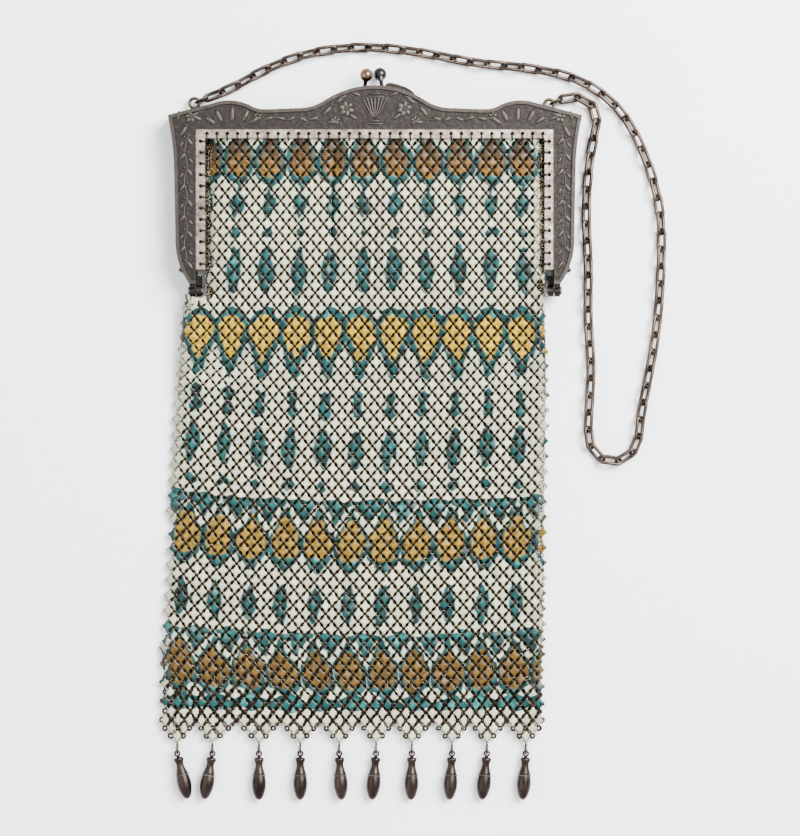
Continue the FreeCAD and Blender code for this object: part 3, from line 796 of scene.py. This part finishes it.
def side_plates(seed):
    """Plates that close the pouch's sides, between the lifted front and the back."""
    chance = random.Random(seed)
    placed = []
    for r in range(ROWS):
        v = TIP_ROW + r * ROW
        low = sheet_height(v, False)
        gap = sheet_height(v, True) - low
        if gap <= SIDE_GAP or v > SIDE_TOP:
            continue
        count = max(1, round((gap - 1.2) / 2.0))
        for edges, side in ((LEFT_EDGE, -1), (RIGHT_EDGE, 1)):
            for k in range(count):
                share = (k + 0.5) / count
                height = low + 0.7 + (gap - 1.4) * share
                bulge = 0.9 * math.sin(math.pi * share)
                origin = Vector((along_table(edges, v) + side * (bulge - 1.0), v, height))
                lean = math.radians(40 * (1 - 2 * share))
                facing = Vector((side * math.cos(lean), 0, -math.sin(lean)))
                along = Vector((0, 1, 0))
                matrix = frame_matrix(origin * MM, along.cross(facing), along, facing)
                u = side * 46.0 + chance.gauss(0, 0.3)
                placed.append((matrix, (u, v), 0.9))
    return placed


# Embossed relief ---------------------------------------------------------------------------
# one side of the frame's face, as distance from the centre line and place along Y, in mm
LEAVES = (
    # shoulder: a fan of leaves
    (36.5, 79.6, 90, 3.9, 1.3), (34.0, 79.6, 118, 3.6, 1.3), (39.0, 79.6, 62, 3.6, 1.3),
    (32.2, 79.2, 146, 3.2, 1.2), (40.8, 79.2, 34, 3.2, 1.2),
    # corner
    (44.2, 80.2, 20, 3.4, 1.2), (45.0, 82.0, -20, 3.2, 1.0), (48.2, 78.6, -60, 3.2, 1.2),
    (50.4, 80.0, 100, 2.6, 1.0),
    # ledge
    (28.6, 80.2, 165, 2.8, 1.0), (25.4, 81.0, 195, 2.6, 0.9), (22.8, 80.0, 160, 2.6, 0.9),
    (19.6, 80.8, 200, 2.6, 0.9), (17.0, 80.2, 165, 2.6, 1.0),
    # crest: leaves that turn in to the urn
    (13.4, 81.2, 130, 3.2, 1.2), (12.4, 79.6, 178, 3.2, 1.1), (10.4, 84.4, 150, 2.8, 1.0),
    (4.6, 80.2, 40, 2.6, 1.0), (3.6, 86.4, 20, 2.8, 0.9), (7.2, 86.4, -20, 2.6, 0.9))
BLOSSOMS = ((7.4, 83.0, 2.0, 6), (47.2, 80.9, 1.5, 5), (10.2, 80.0, 1.2, 5), (30.0, 81.2, 1.1, 5))
ARM_TOP, ARM_FOOT = 76.5, 41.0         # the vine's ends along Y
ARM_MIDDLE = 48.3
VINE_BENDS, VINE_SWAY = 9, 0.75


def relief_shape(bm, place, size, turn, groove=0.0):
    """A rounded, pointed boss half sunk in the field, grooved along its middle."""
    matrix = (Matrix.Translation(place) @ Matrix.Rotation(turn, 4, "Z")
              @ Matrix.Diagonal((size[0] / 2, size[1] / 2, size[2], 1))
              @ Matrix.Rotation(math.pi / 2, 4, "Y"))
    made = bmesh.ops.create_uvsphere(bm, u_segments=8, v_segments=6, radius=1, matrix=matrix)
    axis = Vector((math.cos(turn), math.sin(turn)))
    for vert in made["verts"]:
        offset = vert.co.xy - Vector(place[:2])
        aside = abs(offset.x * axis.y - offset.y * axis.x)
        if vert.co.z > place[2] + 0.3 * size[2] and aside < 0.1 * size[1]:
            vert.co.z -= groove * size[2]


def vine(bm, points, radius):
    """A round stem along a smooth line."""
    mesh = curve_mesh(points, 4, radius)
    bm.from_mesh(mesh)
    bpy.data.meshes.remove(mesh)


def relief_mesh(settings):
    """The embossing of one half of the frame, both its sides, on the upper face."""
    bm = bmesh.new()
    high = (PARTING + FIELD) * MM
    rise = settings.relief
    for side in (-1, 1):
        def spot(u, y):
            return Vector(((FRAME_X + side * u) * MM, y * MM, high))

        def angle(degrees):
            return math.radians(degrees if side > 0 else 180 - degrees)

        for u, y, degrees, length, width in LEAVES:
            middle = (u + 0.5 * length * math.cos(math.radians(degrees)),
                      y + 0.5 * length * math.sin(math.radians(degrees)))
            relief_shape(bm, spot(*middle), (length * MM, width * MM, rise), angle(degrees), 0.35)
        for u, y, radius, petals in BLOSSOMS:
            for k in range(petals):
                turn = math.tau * k / petals + 0.3
                middle = (u + 0.58 * radius * math.cos(turn), y + 0.58 * radius * math.sin(turn))
                size = (radius * 0.95 * MM, radius * 0.75 * MM, rise * 0.9)
                relief_shape(bm, spot(*middle), size, angle(math.degrees(turn)), 0.3)
            relief_shape(bm, spot(u, y), (radius * 0.5 * MM, radius * 0.5 * MM, rise * 1.05), 0.0)
        # vine down the arm, with leaves either way and a berry at each bend
        step = (ARM_TOP - ARM_FOOT) / VINE_BENDS
        line = [spot(ARM_MIDDLE + (VINE_SWAY if k % 2 else -VINE_SWAY), ARM_TOP - k * step)
                for k in range(VINE_BENDS + 1)]
        vine(bm, line, settings.stem)
        for k in range(VINE_BENDS):
            way = 1 if k % 2 else -1
            y = ARM_TOP - (k + 0.45) * step
            u = ARM_MIDDLE + 0.95 * way
            relief_shape(bm, spot(u, y), (2.6 * MM, 1.05 * MM, rise), angle(-90 + 38 * way), 0.35)
            relief_shape(bm, spot(ARM_MIDDLE - 1.2 * way, y - 0.9),
                         (1.9 * MM, 0.8 * MM, rise * 0.9), angle(-90 - 40 * way), 0.35)
            relief_shape(bm, spot(ARM_MIDDLE - 0.4 * way, y + 1.2), (0.8 * MM, 0.8 * MM, rise), 0.0)
        # stems of the ledge
        vine(bm, [spot(u, y) for u, y in ((31.5, 80.0), (27.0, 81.3), (23.0, 79.9),
                                          (18.5, 81.2), (14.5, 79.9), (11.0, 80.6))], settings.stem)
    # urn with flutes in the middle of the crest
    middle = Vector((FRAME_X * MM, 82.6 * MM, high))
    for k in range(-3, 4):
        lean = k * 0.16
        place = middle + Vector((math.sin(lean) * 4.2, 1.0 * math.cos(lean), 0)) * MM
        relief_shape(bm, place, (6.4 * MM, 0.62 * MM, rise), math.pi / 2 - lean)
    for y, width in ((79.2, 4.6), (79.9, 3.0), (86.2, 5.0), (86.9, 3.2)):
        relief_shape(bm, Vector((FRAME_X * MM, y * MM, high)), (width * MM, 0.7 * MM, rise), 0.0)
    return bm


# Operators ---------------------------------------------------------------------------------
def cad_nodes(*starts):
    """The metal parts whose names begin in one of these ways."""
    found = [node for name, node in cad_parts.items() if name.startswith(starts)]
    if not found:
        raise RuntimeError("no metal part is named like " + ", ".join(starts))
    return found


def dress(nodes, material):
    """Gives metal parts a finish."""
    for node in nodes:
        if not node.material_slots:
            node.data.materials.append(material)
        for slot in node.material_slots:
            slot.material = material


TABLE_HALF, TABLE_GAP = 1.2, 0.0001    # half the table's width, and how far it lies below
CAMERA_OVER = (0.00744, 0.0041)        # the place that the camera hangs above


class EVENINGBAG_OT_stage(bpy.types.Operator):
    """Lays the table, hangs the soft lights and sets the camera straight above"""
    bl_idname = "evening_bag.stage"
    bl_label = "Stage"

    def execute(self, context):
        settings = context.scene.evening_bag_stage
        bm = bmesh.new()
        bmesh.ops.create_grid(bm, x_segments=8, y_segments=8, size=TABLE_HALF)
        bmesh.ops.translate(bm, vec=(0, 0, -TABLE_GAP), verts=bm.verts)
        floor = link_object("table_top", mesh_from("table_top", bm), pale_floor(settings))

        world = bpy.data.worlds.new("Pale Room")
        world.use_nodes = True
        world.node_tree.nodes["Background"].inputs["Color"].default_value = (0.97, 0.98, 1.0, 1)
        world.node_tree.nodes["Background"].inputs["Strength"].default_value = 1.42
        context.scene.world = world
        lights = (("key", settings.key, 0.5, (0.42, 0.32, 0.62)),
                  ("fill", settings.fill, 0.7, (-0.6, -0.1, 0.6)))
        for name, power, size, place in lights:
            data = bpy.data.lights.new(name, "AREA")
            data.energy = power
            data.size = size
            light = bpy.data.objects.new(name, data)
            light.location = place
            light.rotation_euler = (-Vector(place)).to_track_quat("-Z", "Y").to_euler()
            context.scene.collection.objects.link(light)

        lens = bpy.data.cameras.new("camera")
        lens.lens = settings.lens
        lens.sensor_width = 36.0
        lens.clip_start = 0.01
        camera = bpy.data.objects.new("camera", lens)
        camera.location = (*CAMERA_OVER, settings.height)
        context.scene.collection.objects.link(camera)
        context.scene.camera = camera
        return {"FINISHED"}


class EVENINGBAG_OT_handle_chain(bpy.types.Operator):
    """Lays the handle chain of interlocked oval links along its route"""
    bl_idname = "evening_bag.handle_chain"
    bl_label = "Handle Chain"

    def execute(self, context):
        settings = context.scene.evening_bag_chain
        line = curve_points(CHAIN_ROUTE)
        joints = even_steps(line, settings.links)
        pitch = sum((b - a).length for a, b in zip(joints, joints[1:])) / settings.links
        bend = settings.inside / 2 + settings.wire
        bm = bmesh.new()
        made = bmesh.ops.create_circle(
            bm, segments=8, radius=settings.wire,
            matrix=Matrix.Translation((bend, 0, 0)) @ Matrix.Rotation(math.pi / 2, 4, "X"))
        bmesh.ops.spin(bm, geom=made["verts"] + bm.edges[:], cent=(0, 0, 0), axis=(0, 0, 1),
                       angle=math.tau, steps=18, use_merge=True)
        bmesh.ops.rotate(bm, cent=(0, 0, 0), matrix=Matrix.Rotation(math.radians(10), 3, "Z"),
                         verts=bm.verts)
        stretch = (pitch + settings.overlap) / 2 - bend
        for vert in bm.verts:
            vert.co.x += math.copysign(stretch, vert.co.x)
        bmesh.ops.recalc_face_normals(bm, faces=bm.faces)
        link = mesh_from("link", bm)
        placed = []
        for i, (a, b) in enumerate(zip(joints, joints[1:])):
            along = (b - a).normalized()
            across = UP.cross(along).normalized()
            facing = along.cross(across)
            roll = settings.roll * (1 if i % 2 else -1) + 0.25 * noise.noise(a * 30)
            matrix = frame_matrix((a + b) / 2, along, across, facing)
            placed.append((matrix @ Matrix.Rotation(roll, 4, "X"), None, None))
        chain_metal = metal("Worn Chain Silver", (0.028, 0.020, 0.016), (0.125, 0.092, 0.074),
                            0.38, 900.0, 0.7, 0.25)
        chain = scatter("handle_chain_links", link, placed, chain_metal)
        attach(chain, "root")
        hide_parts("handle_chain")
        rings = cad_nodes("jump_ring")
        dress(rings + cad_nodes("chain_eyelet"),
              metal("Greened Ring Bronze", (0.022, 0.022, 0.014), (0.10, 0.095, 0.06), 0.4, 900.0))
        return {"FINISHED"}


class EVENINGBAG_OT_frame_relief(bpy.types.Operator):
    """Embosses both halves of the frame and gives them their oxidised silver"""
    bl_idname = "evening_bag.frame_relief"
    bl_label = "Frame Relief"

    def execute(self, context):
        settings = context.scene.evening_bag_frame
        silver = embossed_silver(settings)
        dress(cad_nodes("front_frame", "back_frame"), silver)
        for name, body, front in (("front_relief", "front_half", True),
                                  ("back_relief", "root", False)):
            bm = relief_mesh(settings)
            if not front:
                for vert in bm.verts:
                    vert.co.z = 2 * PARTING * MM - vert.co.z
                bmesh.ops.reverse_faces(bm, faces=bm.faces)
            relief = link_object(name, mesh_from(name, bm), silver)
            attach(relief, body)
        return {"FINISHED"}


class EVENINGBAG_OT_rails(bpy.types.Operator):
    """Finishes the perforated rails, their rings, the hinge pins and the clasp"""
    bl_idname = "evening_bag.rails"
    bl_label = "Rails, Hinges and Clasp"

    def execute(self, context):
        dress(cad_nodes("front_rail", "back_rail"),
              metal("Champagne Rail", (0.30, 0.235, 0.19), (0.66, 0.56, 0.48), 0.3, 1100.0,
                    0.5, 0.1))
        dress(cad_nodes("front_rail_rings", "back_rail_rings"),
              metal("Brown Ring Bronze", (0.02, 0.015, 0.01), (0.07, 0.05, 0.035), 0.42, 900.0))
        dress(cad_nodes("hinge_pin"),
              metal("Dark Pin Steel", (0.05, 0.05, 0.05), (0.2, 0.2, 0.2), 0.4, 900.0))
        dress(cad_nodes("clasp_ball_back"),
              metal("Rubbed Clasp Bronze", (0.05, 0.03, 0.02), (0.24, 0.14, 0.09), 0.24, 300.0,
                    0.9, 0.05))
        dress(cad_nodes("clasp_ball_front"),
              metal("Dark Clasp Bronze", (0.012, 0.012, 0.016), (0.055, 0.05, 0.055), 0.24, 300.0,
                    0.9, 0.05))
        return {"FINISHED"}


class EVENINGBAG_OT_mesh_panels(bpy.types.Operator):
    """Links the front and back panels of enamelled plates and their rings"""
    bl_idname = "evening_bag.mesh_panels"
    bl_label = "Mesh Panels"

    def execute(self, context):
        settings = context.scene.evening_bag_mesh
        plate = plate_template(settings)
        ring = ring_template(settings.ring_radius, settings.ring_wire)
        bead = ring_template(settings.fringe_radius, settings.fringe_wire)
        print_enamel = enamel(settings)
        bronze = metal("Mesh Ring Bronze", (0.05, 0.040, 0.026), (0.24, 0.20, 0.135), 0.4, 900.0)
        panels = (("front", True, SPLIT, 90.0), ("pouch_front", True, -90.0, SPLIT),
                  ("back", False, SPLIT, 90.0), ("pouch_back", False, -90.0, SPLIT))
        for name, front, low, high in panels:
            spots = sheet_places(front, low, high)
            plates = scatter(name + "_plates", plate,
                             panel_matrices(spots, front, settings.seed), print_enamel)
            places = panel_rings(spots, front, settings.seed)
            if high > EDGE_TOP:
                places += edge_rings(front, settings.seed)
            rings = scatter(name + "_rings", ring, places, bronze)
            if name == "front":
                for piece in (plates, rings):
                    start, end = HINGE.copy(), HINGE.copy()
                    start.y -= 6 * MM
                    end.y += 1.5 * MM
                    start.z = end.z = 6.2 * MM
                    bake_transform(piece)
            else:
                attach(plates, "root")
                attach(rings, "root")
        fringe = scatter("hem_fringe", bead,
                         hem_fringe(sheet_places(True, -90.0, SPLIT), settings.seed),
                         metal("Brown Fringe Bronze", (0.014, 0.009, 0.007), (0.06, 0.038, 0.03),
                               0.42, 900.0))
        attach(fringe, "root")
        sides = scatter("side_plates", plate, side_plates(settings.seed), print_enamel)
        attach(sides, "root")
        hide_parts("front_mesh_upper", "front_mesh_lower")
        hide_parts("back_mesh")
        return {"FINISHED"}


# a drop's bell-shaped neck, as (down from the eye, radius) in mm
BELL = ((1.0, 0.9), (1.25, 1.25), (1.7, 1.3), (2.3, 1.02), (3.0, 0.95), (3.8, 1.1), (4.7, 1.38),
        (5.6, 1.62), (5.9, 1.5))
SEAM = 5.6                     # from a drop's eye down to its seam, in mm
BAND_RADIUS, BAND_WIRE = 1.6, 0.16     # the green band round the seam, in mm


def bell_neck(place):
    """The turned neck of a drop, flared like a bell below its eye."""
    bm = bmesh.new()
    down, radius = BELL[0]
    bmesh.ops.create_circle(bm, cap_ends=True, segments=16, radius=radius * MM,
                            matrix=Matrix.Translation((0, -down * MM, 0))
                            @ Matrix.Rotation(math.pi / 2, 4, "X"))
    edges = bm.edges[:]
    for (above, before), (below, after) in zip(BELL, BELL[1:]):
        made = bmesh.ops.extrude_edge_only(bm, edges=edges)["geom"]
        ring = [part for part in made if isinstance(part, bmesh.types.BMVert)]
        edges = [part for part in made if isinstance(part, bmesh.types.BMEdge)
                 and all(vert in ring for vert in part.verts)]
        wider = after / before
        bmesh.ops.scale(bm, vec=(wider, 1, wider), verts=ring)
        bmesh.ops.translate(bm, vec=(0, (above - below) * MM, 0), verts=ring)
    bmesh.ops.holes_fill(bm, edges=edges)
    bmesh.ops.transform(bm, matrix=place, verts=bm.verts)
    bmesh.ops.recalc_face_normals(bm, faces=bm.faces)
    return bm


class EVENINGBAG_OT_drops(bpy.types.Operator):
    """Finishes the hem rings and drops, with a bell-shaped neck and a banded seam on each"""
    bl_idname = "evening_bag.drops"
    bl_label = "Drops"

    def execute(self, context):
        bronze = metal("Dark Drop Bronze", (0.018, 0.013, 0.012), (0.062, 0.044, 0.038), 0.38,
                       500.0, 0.8, 0.08)
        verdigris = metal("Green Band Bronze", (0.03, 0.055, 0.04), (0.12, 0.17, 0.13), 0.45, 900.0)
        dress(cad_nodes("drop_"), bronze)
        dress(cad_nodes("hem_rings"),
              metal("Hem Ring Bronze", (0.02, 0.017, 0.012), (0.09, 0.07, 0.045), 0.38, 900.0))
        for number, (x, degrees) in enumerate(zip(TEETH, DROP_TURNS), 1):
            bm = bmesh.new()
            made = bmesh.ops.create_circle(bm, segments=8, radius=BAND_WIRE * MM,
                                           matrix=Matrix.Translation((BAND_RADIUS * MM, 0, 0)))
            bmesh.ops.spin(bm, geom=made["verts"] + bm.edges[:], cent=(0, 0, 0), axis=(0, 1, 0),
                           angle=math.tau, steps=40, use_merge=True)
            eye = (Matrix.Translation((Vector((x, 0, 0)) + DROP_EYE) * MM)
                   @ Matrix.Rotation(math.radians(degrees), 4, "Z"))
            bmesh.ops.transform(bm, matrix=eye @ Matrix.Translation((0, -SEAM * MM, 0)),
                                verts=bm.verts)
            bmesh.ops.recalc_face_normals(bm, faces=bm.faces)
            band_name, bell_name = "drop_%d_band" % number, "drop_%d_bell" % number
            band = link_object(band_name, mesh_from(band_name, bm), verdigris)
            bell = link_object(bell_name, mesh_from(bell_name, bell_neck(eye)), bronze)
            for piece in (band, bell):
                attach(piece, "drop_%d" % number)
        return {"FINISHED"}


class EVENINGBAG_PT_panel(bpy.types.Panel):
    """Lists the bag's pieces and settings"""
    bl_idname = "EVENINGBAG_PT_panel"
    bl_label = "Evening Bag"
    bl_space_type = "VIEW_3D"
    bl_region_type = "UI"
    bl_category = "Evening Bag"

    def draw(self, context):
        layout = self.layout
        for operator in OPERATORS:
            layout.operator(operator.bl_idname)
        for name, group in GROUPS:
            box = layout.box()
            settings = getattr(context.scene, name)
            for key in group.__annotations__:
                box.prop(settings, key)


OPERATORS = (EVENINGBAG_OT_stage, EVENINGBAG_OT_handle_chain, EVENINGBAG_OT_frame_relief,
             EVENINGBAG_OT_rails, EVENINGBAG_OT_mesh_panels, EVENINGBAG_OT_drops)
GROUPS = (("evening_bag_stage", EveningBagStage), ("evening_bag_chain", EveningBagChain),
          ("evening_bag_frame", EveningBagFrame), ("evening_bag_mesh", EveningBagMesh))


def register():
    for name, group in GROUPS:
        bpy.utils.register_class(group)
        setattr(bpy.types.Scene, name, PointerProperty(type=group))
    for operator in OPERATORS:
        bpy.utils.register_class(operator)
    bpy.utils.register_class(EVENINGBAG_PT_panel)


def unregister():
    bpy.utils.unregister_class(EVENINGBAG_PT_panel)
    for operator in reversed(OPERATORS):
        bpy.utils.unregister_class(operator)
    for name, group in reversed(GROUPS):
        delattr(bpy.types.Scene, name)
        bpy.utils.unregister_class(group)


def main():
    register()
    bpy.ops.evening_bag.stage()
    bpy.ops.evening_bag.handle_chain()
    bpy.ops.evening_bag.frame_relief()
    bpy.ops.evening_bag.rails()
    bpy.ops.evening_bag.mesh_panels()
    bpy.ops.evening_bag.drops()


if __name__ == "__main__":
    main()
